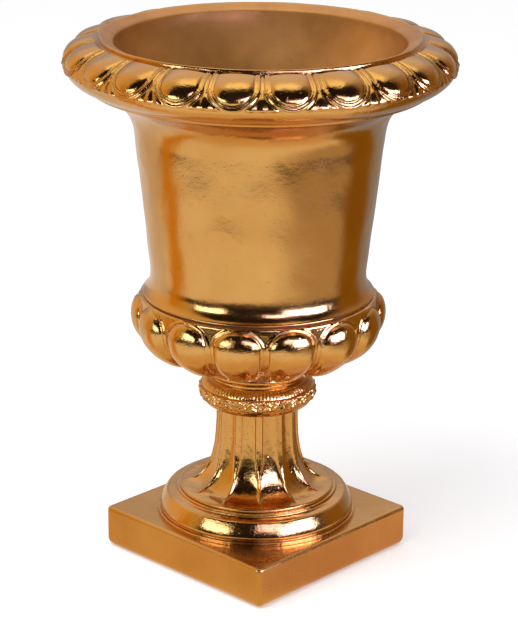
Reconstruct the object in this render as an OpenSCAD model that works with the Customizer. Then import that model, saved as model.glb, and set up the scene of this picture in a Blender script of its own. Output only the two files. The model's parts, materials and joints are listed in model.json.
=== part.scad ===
// Footed urn planter: thin castings stacked on one tie rod, with a flanged bell and rim above

/* [Plinth] */
// Side of the square plinth
plinth_side = 286; // [276:1:330]
// Height of the plinth
plinth_h = 56; // [50:1:80]
// Rounding of the plinth's edges
plinth_round = 5; // [2:0.5:8]
// Wall of the plinth casting
plinth_wall = 7; // [5:0.5:9]

/* [Foot] */
// Diameter of the foot over its base ring
foot_d = 264; // [256:1:266]
// Height of the foot
foot_h = 35; // [33:1:44]
// Height of the base ring
base_ring_h = 5; // [3:0.5:6]
// Diameter of the thin ring under the stem's apron
foot_top_d = 213; // [209:1:216]
// Height of that ring
top_ring_h = 4; // [2.5:0.5:6]
// Width of the groove between the moulding and the base ring
foot_groove_w = 4; // [2:0.5:5]
// Wall of the foot and of the plate on top of it
foot_wall = 7; // [5:0.5:9]

/* [Stem] */
// Diameter of the stem over the flats between its flutes
stem_d = 106.5; // [103:0.5:116]
// Height of the stem with its apron
stem_h = 117; // [100:1:140]
// Diameter of the apron at the stem's foot
apron_d = 205; // [198:1:207]
// Height of the apron's upright edge
apron_edge_h = 3; // [2:0.5:5]
// Number of flutes round the stem
flutes = 12; // [8:2:16]
// Depth of a flute
flute_depth = 5; // [2:0.5:6]
// Share of the pitch that a flute takes, the rest being the flat beside it
flute_share = 0.8; // [0.7:0.01:0.9]

/* [Collar] */
// Diameter of the carved collar before its leaves are raised
collar_d = 149.5; // [144:0.5:160]
// Height of the collar
collar_h = 38; // [32:1:46]
// Diameter of the collar's underside, where it meets the stem
collar_foot_d = 114; // [112:0.5:122]
// Diameter of the collar's top edge
collar_top_d = 134; // [130:0.5:140]
// Number of leaves round the collar
leaves = 24; // [16:2:28]
// Height of a leaf above the collar
leaf_raise = 1.8; // [0.5:0.1:3]

/* [Neck ring] */
// Diameter of the neck ring over its bead
neck_d = 140; // [136:0.5:144]
// Diameter of the waist under the bead
neck_waist_d = 131; // [126:0.5:133]
// Height of the neck ring
neck_h = 16; // [14:1:24]
// Thickness of the bead
bead_t = 9; // [7:0.5:11]

/* [Bowl] */
// Diameter of the bowl's ground, between the gadroons
bowl_d = 320; // [312:1:328]
// Height of the bowl
bowl_h = 99; // [90:1:120]
// Height of the widest place above the bowl's underside
belly_h = 72; // [66:1:74]
// Diameter of the underside that rests on the neck ring
bowl_foot_d = 146; // [142:1:154]
// Diameter of the bowl's top edge
bowl_top_d = 300; // [298:1:304]
// Number of gadroons round the bowl
gadroons = 14; // [10:2:18]
// Height of a gadroon above its frame
gadroon_raise = 5.5; // [3:0.1:7]
// Height of the frame round a gadroon
gadroon_frame = 1; // [0.5:0.1:2]
// Wall of the bowl under the ground
bowl_wall = 7; // [5:0.5:9]
// Thickness of the bowl's floor
bowl_floor = 10; // [8:0.5:14]

/* [Body] */
// Height of the bell
body_h = 271; // [250:1:320]
// Diameter of the lip at the bell's foot
body_foot_d = 301; // [298:1:306]
// Height of that lip's edge
body_lip_h = 3; // [2:0.5:5]
// Height of the flare above the lip
flare_h = 34; // [28:1:44]
// Diameter of the bell just above the flare
body_low_d = 282; // [276:1:286]
// Diameter of the bell just below the cove
body_high_d = 320; // [312:1:324]
// Height of the cove under the rim
cove_h = 59; // [50:1:70]
// Diameter of the bell's top edge
body_top_d = 428; // [418:1:432]
// Wall of the bell
body_wall = 5; // [4:0.5:7]

/* [Rim] */
// Height of the rim, from the bell's top edge to the lip
rim_h = 66; // [60:1:80]
// Diameter of the ground that the eggs stand on, at its widest
rim_d = 499; // [490:1:506]
// Diameter of the rim's underside edge
rim_foot_d = 433; // [428:1:440]
// Height of the plain band under the eggs
band_h = 29; // [24:1:33]
// Diameter of the groove between the lip and the eggs
groove_d = 410; // [402:1:416]
// Width of that groove
groove_w = 2.5; // [1.5:0.5:3.5]
// Height of the lip above the groove
lip_h = 5.5; // [4:0.5:8]
// Width of the lip
lip_w = 18.5; // [15:0.5:21]
// Number of eggs round the rim
eggs = 22; // [16:2:26]
// Height of an egg above its frame
egg_raise = 6.5; // [3:0.5:8]
// Height of the frame round an egg
egg_frame = 2; // [1:0.1:3.5]
// Wall of the rim's skin and of the funnel inside it
rim_wall = 5; // [4:0.5:6]
// Length of the funnel inside the rim
funnel_h = 93; // [84:1:96]

/* [Flanges] */
// Inner diameter of the flanges between the rim and the bell
throat_d = 260; // [250:1:264]
// Thickness of each of those flanges
throat_flange_t = 6; // [5:0.5:9]
// Inner diameter of the flanges between the bell and the bowl
waist_d = 216; // [206:1:222]
// Thickness of each of those flanges
waist_flange_t = 8; // [6:0.5:10]
// Thickness of the gasket between the bell and the bowl
gasket_t = 2; // [1:0.5:4]
// Number of bolts in each flange
flange_bolt_count = 6; // [4:1:8]
// Size of the bolts between the bell and the bowl
waist_bolt_d = 8; // [6:1:8]
// Size of the bolts between the rim and the bell
throat_bolt_d = 6; // [5:1:6]

/* [Tie rod] */
// Size of the tie rod through the pedestal
rod_d = 16; // [12:1:18]
// Bore through the pedestal castings
pedestal_bore_d = 80; // [76:1:84]
// Outer diameter of the spigots that centre the castings on one another
spigot_d = 92; // [89:1:93]
// Height of the spigots
spigot_h = 4; // [2.5:0.5:5]
// Width of the space inside the stem's apron
apron_hollow_d = 160; // [140:1:166]
// Width of the clamp bar under the plinth's top
clamp_bar_w = 40; // [34:1:50]
// Length of the clamp bar
clamp_bar_l = 120; // [90:1:160]
// Thickness of the clamp bar
clamp_bar_t = 6; // [5:0.5:8]
// Thickness of the rubber seal on the bowl's floor
seal_t = 3; // [2:0.5:5]

/* [Drains] */
// Number of drain holes in the bowl and in the plinth
drains = 4; // [2:1:6]
// Diameter of a drain hole
drain_d = 10; // [6:0.5:11]
// Radius of the circle of drain holes in the bowl's floor
bowl_drain_r = 29; // [27:0.5:32]
// Radius of the circle of drain holes in the plinth
plinth_drain_r = 70; // [62:1:84]

/* [Fits] */
// Clearance of each spigot in its recess
spigot_gap = 0.3; // [0.2:0.1:0.5]
// Gap left between the rim's skin and the bell's top edge
rim_gap = 0.3; // [0.2:0.1:0.6]
// Clearance of a bolt or of the rod in its hole, on the diameter
bolt_gap = 1; // [0.6:0.1:2]
// Turn of the stem, collar and bowl from the plinth's corner
stack_turn = 1.7; // [-4:0.1:4]
// Turn of the rim from the plinth's corner
rim_turn = -0.8; // [-4:0.1:4]

/* [Hidden] */
$fn = 96;

// Heights of the joints, from the floor up
foot_z = plinth_h;
stem_z = foot_z + foot_h;
collar_z = stem_z + stem_h;
neck_z = collar_z + collar_h;
bowl_z = neck_z + neck_h;
waist_z = bowl_z + bowl_h;
body_z = waist_z + gasket_t;
rim_z = body_z + body_h;
top_z = rim_z + rim_h;
groove_z = top_z - lip_h;
funnel_z = top_z - funnel_h;
bowl_floor_z = bowl_z + bowl_floor;

// A cut runs this far past the face that it opens
past = 1;
// Direction of the plinth's front corner
corner = -45;

// Threaded parts take their sizes from the bolt, as standard ones do
function nut_w(d) = 1.5 * d;
function nut_h(d) = 0.8 * d;
function washer_d(d) = 2.1 * d;
function washer_t(d) = 0.19 * d;
function corner_d(flats) = flats / cos(30);

// Inside the plinth: a boss carries the clamp bar
boss_d = spigot_d;
boss_h = 12;
rib_t = 6;
rib_h = 18;
boss_z = plinth_h - plinth_wall - boss_h;
clamp_z = boss_z - clamp_bar_t;
low_washer_z = clamp_z - washer_t(rod_d);
low_nut_z = low_washer_z - nut_h(rod_d);
rod_end = 4;

// On the bowl's floor
high_washer_z = bowl_floor_z + seal_t;
high_nut_z = high_washer_z + washer_t(rod_d);

// Bolt circles keep the washers clear of the wall inside the bell and of the flanges' edges
waist_bolt_r = (waist_d + body_low_d) / 4 - body_wall / 2;
throat_bolt_r = throat_d / 2 + 0.7 * washer_d(throat_bolt_d);

// Curves are lists of [radius, height], and run from the top down
function bez(a, b, c, d, n) = [for (i = [0:n]) let (t = i / n, k = 1 - t)
    k * k * k * a + 3 * k * k * t * b + 3 * k * t * t * c + t * t * t * d];
// The same from a to b, with p and q as shares of the way across and of the way down
function share_of(a, b, p) = a + [p.x * (b.x - a.x), p.y * (b.y - a.y)];
function sweep(a, b, p, q, n) = bez(a, share_of(a, b, p), share_of(a, b, q), b, n);
function tail(path) = [for (i = [1:len(path) - 1]) path[i]];
function normal(path, i) = let (
    t = path[min(i + 1, len(path) - 1)] - path[max(i - 1, 0)]) [-t.y, t.x] / norm(t);
function inset(path, d) = [for (i = [0:len(path) - 1]) path[i] - d * normal(path, i)];
function run(path, i) = i == 0 ? 0 : run(path, i - 1) + norm(path[i] - path[i - 1]);
function dome(x) = sqrt(max(0, 1 - x * x));
function smooth(x) = let (t = min(1, max(0, x))) t * t * (3 - 2 * t);

// Closes a curve on the axis, with its ends run on level
function to_axis(path) = concat([[0, path[0].y]], path, [[0, path[len(path) - 1].y]]);

// Distance from the middle of a tongue, in half pitches: straight sides and one round end,
// which starts where over is above nought and is as long as reach
function tongue(u, over, reach) = norm([u, max(0, over) / reach]);

// Solid of revolution whose skin is lifted by lift(u, s), where u runs from -1 to 1 across
// each lobe and s is the distance down the curve
module lobed_solid(path, lobes, at, lift, turn) {
    stops = len(path);
    n = lobes * len(at);
    normals = [for (i = [0:stops - 1]) normal(path, i)];
    runs = [for (i = [0:stops - 1]) run(path, i)];
    skin = [for (k = [0:n - 1]) let (
            u = at[k % len(at)],
            a = corner + turn + (floor(k / len(at)) + (u + 1) / 2) * 360 / lobes)
        for (i = [0:stops - 1]) let (p = path[i] + lift(u, runs[i]) * normals[i])
            [p.x * cos(a), p.x * sin(a), p.y]];
    sides = [for (k = [0:n - 1], i = [0:stops - 2]) let (
            a = k * stops + i, b = (k + 1) % n * stops + i)
        each [[a, b, b + 1], [a, b + 1, a + 1]]];
    caps = [for (k = [0:n - 1]) let (a = k * stops, b = (k + 1) % n * stops)
        each [[n * stops, b, a], [n * stops + 1, a + stops - 1, b + stops - 1]]];
    polyhedron(concat(skin, [[0, 0, path[0].y], [0, 0, path[stops - 1].y]]),
        concat(sides, caps), convexity = 6);
}

// Copies its child round the axis
module ring_of(count, radius, first = 0) {
    for (i = [0:count - 1])
        rotate(first + i * 360 / count) translate([radius, 0, 0]) children();
}

// Upright hole that runs past both faces
module hole(d, low, high) {
    translate([0, 0, low - past]) cylinder(d = d, h = high - low + 2 * past);
}

// Upright tube
module tube(outer_d, inner_d, z, h) {
    translate([0, 0, z]) rotate_extrude()
        translate([inner_d / 2, 0]) square([(outer_d - inner_d) / 2, h]);
}

// Recess in the underside at height z, for the spigot of the casting below
module spigot_recess(z) {
    translate([0, 0, z - past])
        cylinder(d = spigot_d + 2 * spigot_gap, h = spigot_h + spigot_gap + past);
}

// Spigot on the top face at height z, rooted a little below it
module spigot(z) { tube(spigot_d, pedestal_bore_d, z - past, spigot_h + past); }

// Plinth: a square casting, open underneath, with a ribbed boss for the clamp bar
module round_rect(w, h, r) {
    translate([r, 0]) square([w - 2 * r, h]);
    translate([0, r]) square([w, h - 2 * r]);
    for (x = [r, w - r], y = [r, h - r]) translate([x, y]) circle(r);
}

module plinth_bar(turn) {
    rotate(turn) translate([-plinth_side / 2, plinth_side / 2, 0]) rotate([90, 0, 0])
        linear_extrude(plinth_side) round_rect(plinth_side, plinth_h, plinth_round);
}

module plinth_block() {
    intersection() {
        translate([-plinth_side / 2, -plinth_side / 2, 0]) linear_extrude(plinth_h)
            round_rect(plinth_side, plinth_side, plinth_round);
        plinth_bar(0);
        plinth_bar(90);
    }
}

module plinth() {
    inside = plinth_side - 2 * plinth_wall;
    ceiling = plinth_h - plinth_wall;
    color("darkgoldenrod") difference() {
        union() {
            difference() {
                plinth_block();
                translate([-inside / 2, -inside / 2, -past]) cube([inside, inside, ceiling + past]);
            }
            translate([0, 0, boss_z]) cylinder(d = boss_d, h = boss_h + past);
            for (turn = [0, 90]) rotate(turn)
                translate([-inside / 2 - past, -rib_t / 2, ceiling - rib_h])
                    cube([inside + 2 * past, rib_t, rib_h + past]);
        }
        // The clamp bar lies across the boss, in a gap in the ribs
        translate([0, 0, -past]) cylinder(d = clamp_bar_l + 2 * bolt_gap, h = boss_z + past);
        hole(rod_d + bolt_gap, boss_z, plinth_h);
        ring_of(drains, plinth_drain_r, corner) hole(drain_d, ceiling, plinth_h);
    }
}

// Foot: a rounded slope between a thin ring and the base ring, with a groove over the base ring
slope_low = [foot_d / 2 - foot_groove_w, foot_z + base_ring_h + foot_groove_w];
foot_curve = concat(
    [[foot_top_d / 2, stem_z]],
    sweep([foot_top_d / 2, stem_z - top_ring_h], slope_low, [0.23, 0.1], [0.72, 0.36], 12),
    [[foot_d / 2 - 1.3 * foot_groove_w, foot_z + base_ring_h], [foot_d / 2, foot_z + base_ring_h],
        [foot_d / 2, foot_z]]);

module foot() {
    ring_d = apron_hollow_d - 2 * spigot_gap;
    hollow_r = foot_d / 2 - 1.5 * foot_wall;
    color("goldenrod") {
        difference() {
            rotate_extrude() polygon(to_axis(foot_curve));
            rotate_extrude() polygon([[0, foot_z - past], [hollow_r, foot_z - past],
                [hollow_r, foot_z + base_ring_h], [foot_top_d / 2 - foot_wall, stem_z - foot_wall],
                [0, stem_z - foot_wall]]);
            hole(pedestal_bore_d, foot_z, stem_z);
        }
        tube(ring_d, ring_d - 2 * foot_wall, stem_z - past, spigot_h + past);
    }
}

// Stem: flutes with flats between them, which run out on a round apron
apron_z = stem_z + apron_edge_h;
flare_top = stem_z + 0.7 * stem_h;
stem_curve = concat(
    [[stem_d / 2, collar_z]],
    sweep([stem_d / 2, flare_top], [apron_d / 2, apron_z], [0, 0.54], [0.08, 0.94], 9),
    [[apron_d / 2, stem_z]]);
flute_run = run(stem_curve, 8);
flute_at = [-1, -flute_share, -0.66 * flute_share, -0.33 * flute_share, 0,
    0.33 * flute_share, 0.66 * flute_share, flute_share];
flute_lift = function (u, s)
    -flute_depth * dome(u / flute_share) * (1 - smooth((s / flute_run - 0.72) / 0.28));

module stem() {
    wide = apron_hollow_d / 2;
    bore = pedestal_bore_d / 2;
    color("goldenrod") {
        difference() {
            lobed_solid(stem_curve, flutes, flute_at, flute_lift, stack_turn);
            rotate_extrude() polygon(to_axis(concat(
                [[bore, collar_z + past]],
                sweep([bore, flare_top], [wide, stem_z + spigot_h + spigot_gap],
                    [0, 0.75], [0.1, 0.92], 6),
                [[wide, stem_z - past]])));
        }
        spigot(collar_z);
    }
}

// Collar: a carved roll on a plain underside
collar_mid = collar_z + 0.5 * collar_h;
collar_curve = concat(
    sweep([collar_top_d / 2, neck_z], [collar_d / 2, collar_mid], [0.54, 0.05], [1, 0.47], 4),
    tail(sweep([collar_d / 2, collar_mid], [collar_foot_d / 2, collar_z], [0, 0.58], [0.31, 0.97], 4)));
leaf_end = run(collar_curve, 6);
leaf_at = [-1, -0.5, 0, 0.5];
leaf_lift = function (u, s)
    leaf_raise * (1 - abs(u)) * smooth(2.5 * s / leaf_end) * smooth(2.5 * (1 - s / leaf_end));

module collar() {
    color("darkgoldenrod") {
        difference() {
            lobed_solid(collar_curve, leaves, leaf_at, leaf_lift, stack_turn);
            hole(pedestal_bore_d, collar_z, neck_z);
            spigot_recess(collar_z);
        }
        spigot(neck_z);
    }
}

// Neck ring: a polished bead over a waist
module neck_ring() {
    bead_r = bead_t / 2;
    waist_top = neck_h - bead_r;
    color("gold") {
        difference() {
            translate([0, 0, neck_z]) rotate_extrude() {
                polygon(to_axis(concat([[neck_waist_d / 2, neck_h]],
                    sweep([neck_waist_d / 2, waist_top], [collar_top_d / 2, 0], [0, 0.4], [0, 0.8], 6))));
                translate([neck_d / 2 - bead_r, waist_top]) circle(bead_r);
            }
            hole(pedestal_bore_d, neck_z, bowl_z);
            spigot_recess(neck_z);
        }
        spigot(bowl_z);
    }
}

// Bowl: gadroons that start as arches under the bell and taper away towards the neck
belly_z = bowl_z + belly_h;
bowl_curve = concat(
    sweep([bowl_top_d / 2, waist_z], [bowl_d / 2, belly_z], [0.7, 0.04], [1, 0.5], 6),
    tail(sweep([bowl_d / 2, belly_z], [bowl_foot_d / 2, bowl_z], [0, 0.5], [0.55, 0.65], 8)));
belly_run = run(bowl_curve, 6);
bowl_run = run(bowl_curve, 14);
taper_start = belly_run + 0.55 * (bowl_run - belly_run);
arch_start = 0.72 * belly_run;
arch_reach = arch_start - 1.5;
gadroon_share = 0.86;
gadroon_at = [-1, -0.93, -gadroon_share, -0.66, -0.4, -0.13, 0.13, 0.4, 0.66, gadroon_share, 0.93];
gadroon_lift = function (u, s) let (
        q = tongue(u, arch_start - s, arch_reach),
        taper = 1 - smooth((s - taper_start) / (bowl_run - taper_start)))
    q >= 1 ? 0
    : taper * (gadroon_frame * smooth((1 - q) / 0.1) + gadroon_raise * dome(q / gadroon_share));

module bowl() {
    above = [for (p = inset(bowl_curve, bowl_wall)) if (p.y > bowl_floor_z) p];
    color("goldenrod") difference() {
        lobed_solid(bowl_curve, gadroons, gadroon_at, gadroon_lift, stack_turn);
        rotate_extrude() difference() {
            polygon(concat([[0, above[0].y]], above,
                [[above[len(above) - 1].x, bowl_floor_z], [0, bowl_floor_z]]));
            translate([waist_d / 2, waist_z - waist_flange_t]) square([bowl_d, bowl_h]);
        }
        hole(waist_d, waist_z - waist_flange_t - past, waist_z);
        hole(rod_d + bolt_gap, bowl_z, bowl_floor_z);
        spigot_recess(bowl_z);
        ring_of(drains, bowl_drain_r, corner) hole(drain_d, bowl_z, bowl_floor_z);
        ring_of(flange_bolt_count, waist_bolt_r)
            hole(waist_bolt_d + bolt_gap, waist_z - waist_flange_t, waist_z);
    }
}

// Gasket between the bowl's flange and the bell's
module bowl_gasket() {
    color("dimgray") difference() {
        tube(bowl_top_d - 6, waist_d, waist_z, gasket_t);
        ring_of(flange_bolt_count, waist_bolt_r) hole(waist_bolt_d + bolt_gap, waist_z, body_z);
    }
}

// Body: a bell with a flared foot, a cove under the rim and a flange at each end
body_curve = concat(
    sweep([body_top_d / 2, rim_z], [body_high_d / 2, rim_z - cove_h], [0.52, 0.19], [0.92, 0.37], 10),
    sweep([body_low_d / 2, body_z + body_lip_h + flare_h], [body_foot_d / 2, body_z + body_lip_h],
        [-0.14, 0.45], [0, 0.97], 10),
    [[body_foot_d / 2, body_z]]);

module body() {
    inside = inset(body_curve, body_wall);
    last = len(inside) - 3;
    color("goldenrod") difference() {
        rotate_extrude() difference() {
            polygon(to_axis(body_curve));
            difference() {
                polygon(concat([[0, inside[0].y]], [for (i = [0:last]) inside[i]],
                    [[inside[last].x, body_z - past], [0, body_z - past]]));
                translate([throat_d / 2, funnel_z - 2 * throat_flange_t])
                    square([throat_d, throat_flange_t]);
                translate([waist_d / 2, body_z - 2 * past])
                    square([waist_d, waist_flange_t + 2 * past]);
            }
        }
        ring_of(flange_bolt_count, waist_bolt_r)
            hole(waist_bolt_d + bolt_gap, body_z, body_z + waist_flange_t);
        ring_of(flange_bolt_count, throat_bolt_r)
            hole(throat_bolt_d + bolt_gap, funnel_z - 2 * throat_flange_t, funnel_z);
    }
}

// Rim: egg and dart over a plain band, hung from a rolled lip with a funnel inside it
band_z = rim_z + band_h;
rim_curve = concat(
    sweep([groove_d / 2, groove_z], [rim_d / 2, band_z], [0.4, 0.1], [0.87, 0.49], 11),
    tail(sweep([rim_d / 2, band_z], [rim_foot_d / 2, rim_z + rim_gap], [0.06, 0.35], [0.44, 0.75], 4)));
egg_run = run(rim_curve, 11);
egg_centre = 0.46 * egg_run;
egg_share = 0.67;
frame_share = 0.9;
egg_reach = (egg_run - 1 - egg_centre) / frame_share;
egg_at = [-1, -frame_share, -0.8, -0.62, -0.3, 0.3, 0.62, 0.8, frame_share];
egg_lift = function (u, s) let (q = tongue(u, s - egg_centre, egg_reach))
    s <= 0 || q >= frame_share ? 0
    : smooth(4 * s / egg_run)
        * (egg_frame * smooth((frame_share - q) / 0.1) + egg_raise * dome(q / egg_share));

lip_out = groove_d / 2 - groove_w;
lip_in = lip_out - lip_w;
lip_mid = (lip_out + lip_in) / 2;
funnel_foot = throat_d / 2 + 1.4 * washer_d(throat_bolt_d);
lip_root = [lip_in, groove_z - groove_w];
funnel_curve = sweep(lip_root, [funnel_foot, funnel_z], [0.05, 0.35], [0.7, 0.67], 10);

module rim() {
    skin = inset(rim_curve, rim_wall);
    n = len(funnel_curve);
    color("goldenrod") {
        difference() {
            lobed_solid(rim_curve, eggs, egg_at, egg_lift, rim_turn);
            rotate_extrude() polygon(concat(
                [[0, groove_z + past], [groove_d / 2 - rim_wall, groove_z + past]], skin,
                [[0, skin[len(skin) - 1].y]]));
            hole(rim_foot_d - 4 * rim_wall, rim_z, rim_z + 3 * rim_wall);
        }
        difference() {
            rotate_extrude() polygon(concat(
                sweep([lip_mid, top_z], [lip_out, groove_z], [0.68, 0], [1, 0.2], 5),
                [[lip_out, groove_z - 3], [lip_in + rim_wall, groove_z - 2 * rim_wall]],
                [for (i = [1:n - 1]) funnel_curve[i] + [rim_wall, 0]],
                [[funnel_foot + rim_wall, funnel_z - throat_flange_t],
                    [throat_d / 2, funnel_z - throat_flange_t], [throat_d / 2, funnel_z]],
                [for (i = [n - 1:-1:0]) funnel_curve[i]],
                tail(sweep(lip_root, [lip_mid - 0.1, top_z], [0.05, 0.75], [0.5, 1], 5))));
            ring_of(flange_bolt_count, throat_bolt_r)
                hole(throat_bolt_d + bolt_gap, funnel_z - throat_flange_t, funnel_z);
        }
    }
}

// Fasteners
module washer(d, z) { tube(washer_d(d), d + bolt_gap / 2, z, washer_t(d)); }

module nut(d, z) {
    translate([0, 0, z]) difference() {
        cylinder(d = corner_d(nut_w(d)), h = nut_h(d), $fn = 6);
        hole(d, 0, nut_h(d));
    }
}

module bolt(d, low, high) {
    translate([0, 0, low]) cylinder(d = d, h = high - low);
    translate([0, 0, high]) cylinder(d = corner_d(nut_w(d)), h = 0.65 * d, $fn = 6);
}

// Threaded tie rod from under the plinth's top to the bowl's floor
module tie_rod() {
    color("silver") translate([0, 0, low_nut_z - rod_end])
        cylinder(d = rod_d, h = high_nut_z + nut_h(rod_d) - low_nut_z + 2 * rod_end);
}

module rod_seal() {
    color("black") tube(washer_d(rod_d), rod_d + bolt_gap / 2, bowl_floor_z, seal_t);
}

module rod_top_washer() { color("silver") washer(rod_d, high_washer_z); }

module rod_top_nut() { color("silver") nut(rod_d, high_nut_z); }

module clamp_bar() {
    color("gray") difference() {
        translate([-clamp_bar_l / 2, -clamp_bar_w / 2, clamp_z])
            cube([clamp_bar_l, clamp_bar_w, clamp_bar_t]);
        hole(rod_d + bolt_gap, clamp_z, boss_z);
    }
}

module rod_bottom_washer() { color("silver") washer(rod_d, low_washer_z); }

module rod_bottom_nut() { color("silver") nut(rod_d, low_nut_z); }

// Bolts through the flanges, with heads inside the bell
waist_low_z = waist_z - waist_flange_t;
waist_high_z = body_z + waist_flange_t;
throat_low_z = funnel_z - 2 * throat_flange_t;

module waist_bolts() {
    d = waist_bolt_d;
    color("silver") ring_of(flange_bolt_count, waist_bolt_r)
        bolt(d, waist_low_z - washer_t(d) - nut_h(d) - d / 4, waist_high_z + washer_t(d));
}

module waist_washers() {
    d = waist_bolt_d;
    color("silver") ring_of(flange_bolt_count, waist_bolt_r) {
        washer(d, waist_high_z);
        washer(d, waist_low_z - washer_t(d));
    }
}

module waist_nuts() {
    d = waist_bolt_d;
    color("silver") ring_of(flange_bolt_count, waist_bolt_r)
        nut(d, waist_low_z - washer_t(d) - nut_h(d));
}

module throat_bolts() {
    d = throat_bolt_d;
    color("silver") ring_of(flange_bolt_count, throat_bolt_r)
        bolt(d, throat_low_z - washer_t(d) - nut_h(d) - d / 4, funnel_z + washer_t(d));
}

module throat_washers() {
    d = throat_bolt_d;
    color("silver") ring_of(flange_bolt_count, throat_bolt_r) {
        washer(d, funnel_z);
        washer(d, throat_low_z - washer_t(d));
    }
}

module throat_nuts() {
    d = throat_bolt_d;
    color("silver") ring_of(flange_bolt_count, throat_bolt_r)
        nut(d, throat_low_z - washer_t(d) - nut_h(d));
}

plinth();
foot();
stem();
collar();
neck_ring();
bowl();
bowl_gasket();
body();
rim();
tie_rod();
rod_seal();
rod_top_washer();
rod_top_nut();
clamp_bar();
rod_bottom_washer();
rod_bottom_nut();
waist_bolts();
waist_washers();
waist_nuts();
throat_bolts();
throat_washers();
throat_nuts();
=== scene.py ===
"""Footed urn planter: ornament, gold finish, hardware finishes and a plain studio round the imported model.

Profiles are in millimetres, as (radius, height) pairs, and become metres when a mesh is made.
"""
import json
import math

import bpy
import numpy as np
from mathutils import Matrix, Quaternion, Vector

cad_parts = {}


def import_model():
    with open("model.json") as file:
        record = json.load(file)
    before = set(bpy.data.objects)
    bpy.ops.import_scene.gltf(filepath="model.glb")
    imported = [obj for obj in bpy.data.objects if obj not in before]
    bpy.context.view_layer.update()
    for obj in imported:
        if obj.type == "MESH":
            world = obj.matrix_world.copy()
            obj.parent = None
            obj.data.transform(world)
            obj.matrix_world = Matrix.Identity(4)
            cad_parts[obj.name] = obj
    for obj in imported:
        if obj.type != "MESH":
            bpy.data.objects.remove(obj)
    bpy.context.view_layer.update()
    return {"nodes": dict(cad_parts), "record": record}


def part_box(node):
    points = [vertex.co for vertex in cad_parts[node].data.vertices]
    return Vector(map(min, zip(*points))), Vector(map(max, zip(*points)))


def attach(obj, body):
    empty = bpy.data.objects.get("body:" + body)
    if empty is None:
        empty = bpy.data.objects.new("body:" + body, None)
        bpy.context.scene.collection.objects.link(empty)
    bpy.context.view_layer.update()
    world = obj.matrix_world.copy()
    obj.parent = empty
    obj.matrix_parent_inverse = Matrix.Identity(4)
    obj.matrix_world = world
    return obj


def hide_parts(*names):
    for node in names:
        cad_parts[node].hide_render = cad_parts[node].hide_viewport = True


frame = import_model()

MM = 0.001

# Camera: the photograph's point of view in metres and degrees, and the lens in millimetres
EYE_AZIMUTH = -46.48
EYE_DISTANCE = 2.803
EYE_HEIGHT = 1.2987
AIM_HEIGHT = 0.3204
AIM_RIGHT = 0.0013
CAMERA_ROLL = 0.5615
LENS = 127.89

# Joint levels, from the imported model
FOOT_Z, STEM_Z, COLLAR_Z, NECK_Z, BOWL_Z, BODY_Z = (
    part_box(n)[0].z / MM for n in ("foot", "stem", "collar", "neck_ring", "bowl", "body"))
WAIST_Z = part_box("bowl")[1].z / MM
RIM_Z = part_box("body")[1].z / MM
TOP_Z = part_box("rim")[1].z / MM

# Ornament counts and the turn of each row of ornament, in degrees
FLUTES, LEAVES, GADROONS, EGGS = 12, 24, 14, 22
CORNER = -45.0
STACK_TURN = 1.7
RIM_TURN = -0.8

# Bores, spigots and walls, with the levels that follow from them
BORE_R = 40.0
SPIGOT_R = 46.0
SPIGOT_H = 4.0
SPIGOT_GAP = 0.3
WAIST_R = 108.0
WAIST_T = 8.0
THROAT_R = 130.0
THROAT_T = 6.0
FUNNEL_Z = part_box("rim")[0].z / MM + THROAT_T
BOWL_WALL = 7.0
BOWL_FLOOR = 10.0
FLOOR_R = 60.0
PLINTH_SIDE = 286.0
PLATE_R = 90.0
PLATE_T = 7.0
PLATE_Z = FOOT_Z - PLATE_T
BOSS_H = 12.0
RIB_H = 18.0
ROD_HOLE_R = 8.5
DRAIN_R = 5.0


# Curves
def bez(a, b, c, d, n=24):
    """Points on a cubic curve, both ends included."""
    t = np.linspace(0, 1, n + 1)[:, None]
    a, b, c, d = (np.array(p, float) for p in (a, b, c, d))
    return (1 - t) ** 3 * a + 3 * t * (1 - t) ** 2 * b + 3 * t * t * (1 - t) * c + t ** 3 * d


def arc(centre, radius, start, end, n=16):
    """Points on a round stretch, angles in degrees from the outward direction."""
    t = np.radians(np.linspace(start, end, n + 1))
    return np.stack([centre[0] + radius * np.cos(t), centre[1] + radius * np.sin(t)], 1)


def chain(*parts):
    """One path from several, without repeated points."""
    points = np.concatenate([np.atleast_2d(np.array(p, float)) for p in parts])
    keep = np.r_[True, np.linalg.norm(np.diff(points, axis=0), axis=1) > 1e-4]
    return points[keep]


def run_of(path):
    """Length along a path at each of its points."""
    return np.r_[0, np.cumsum(np.linalg.norm(np.diff(path, axis=0), axis=1))]


def spaced(path, step):
    """The path with points an even step apart."""
    s = run_of(path)
    at = np.linspace(0, s[-1], max(2, int(round(s[-1] / step)) + 1))
    return np.stack([np.interp(at, s, path[:, i]) for i in (0, 1)], 1)


def soften(path, step, radius):
    """Evenly spaced points with the corners rounded and the ends kept."""
    points = spaced(path, step)
    reach = max(1, int(math.ceil(2.5 * radius / step)))
    weight = np.exp(-0.5 * (np.arange(-reach, reach + 1) * step / radius) ** 2)
    weight /= weight.sum()
    before = 2 * points[0] - points[reach:0:-1]
    after = 2 * points[-1] - points[-2:-reach - 2:-1]
    padded = np.concatenate([before, points, after])
    return np.stack([np.convolve(padded[:, i], weight, "valid") for i in (0, 1)], 1)


def normals_of(path):
    """Unit normals on the left of a path's travel, so outward where the path runs down."""
    along = np.gradient(path, axis=0)
    along /= np.linalg.norm(along, axis=1)[:, None]
    return np.stack([-along[:, 1], along[:, 0]], 1)


# Relief
def smooth(x):
    """A step from 0 to 1 with soft ends, flat outside them."""
    x = np.clip(x, 0, 1)
    return x * x * (3 - 2 * x)


def dome(x):
    """The height of a half circle that spans -1 to 1."""
    return np.sqrt(np.clip(1 - x * x, 0, 1))


def bead(x, at, half):
    """A rounded thread that is one high at a place and ends half a width to each side."""
    return np.clip(1 - ((x - at) / half) ** 2, 0, 1)


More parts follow.
